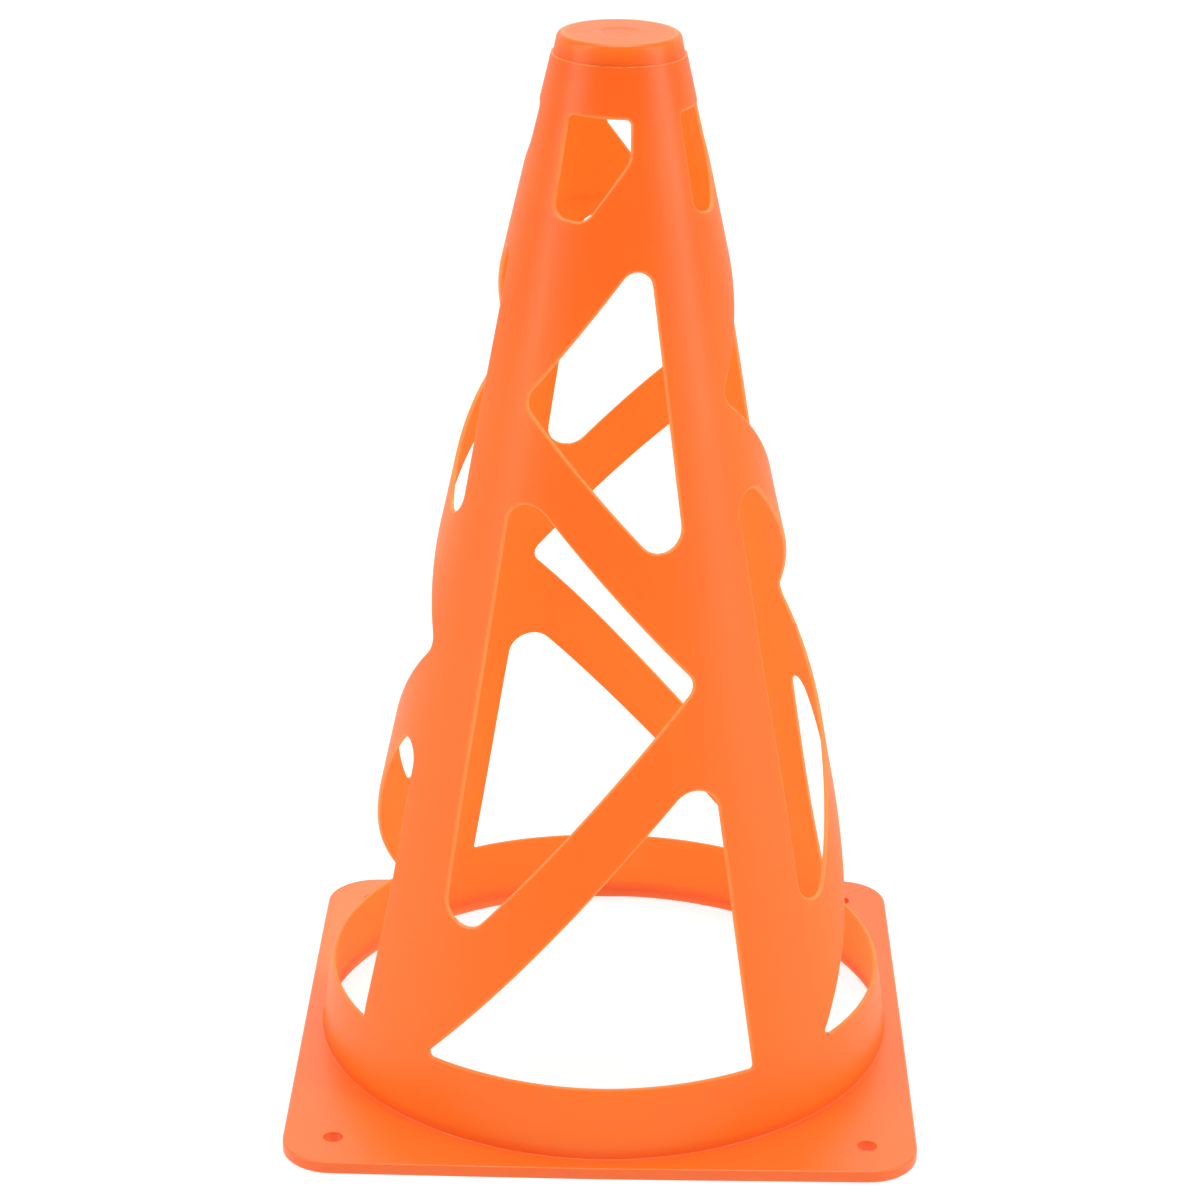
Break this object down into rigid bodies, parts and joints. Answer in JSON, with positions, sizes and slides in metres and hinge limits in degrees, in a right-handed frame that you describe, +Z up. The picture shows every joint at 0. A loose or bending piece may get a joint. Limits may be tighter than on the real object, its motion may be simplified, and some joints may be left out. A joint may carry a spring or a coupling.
{
  "type": "windproof sports marker cone",
  "caption": "Soft orange marker cone with a square peg-down base, an open lattice wall that lets wind through and a flat closed nose.",
  "frame": {"origin": "centre of the underside of the base plate, on the surface that the cone stands on", "axes": "+Z up the cone's axis to the flat nose, -Y towards the side that the picture shows, +X to that side's right"},
  "size_m": [0.136, 0.136, 0.23],
  "materials": {
    "soft_plastic": "satin, slightly translucent soft moulded plastic, bright orange right through"
  },
  "bodies": {
    "root": {"base_plate": "soft_plastic", "foot_ring": "soft_plastic", "leg_front_left": "soft_plastic", "leg_front_right": "soft_plastic", "leg_back_right": "soft_plastic", "leg_back_left": "soft_plastic", "lower_strut_front": "soft_plastic", "lower_strut_right": "soft_plastic", "lower_strut_back": "soft_plastic", "lower_strut_left": "soft_plastic", "middle_strut_front": "soft_plastic", "middle_strut_right": "soft_plastic", "middle_strut_back": "soft_plastic", "middle_strut_left": "soft_plastic", "upper_strut_front": "soft_plastic", "upper_strut_right": "soft_plastic", "upper_strut_back": "soft_plastic", "upper_strut_left": "soft_plastic", "nose_collar": "soft_plastic", "nose_cap": "soft_plastic"}
  },
  "joints": []
}
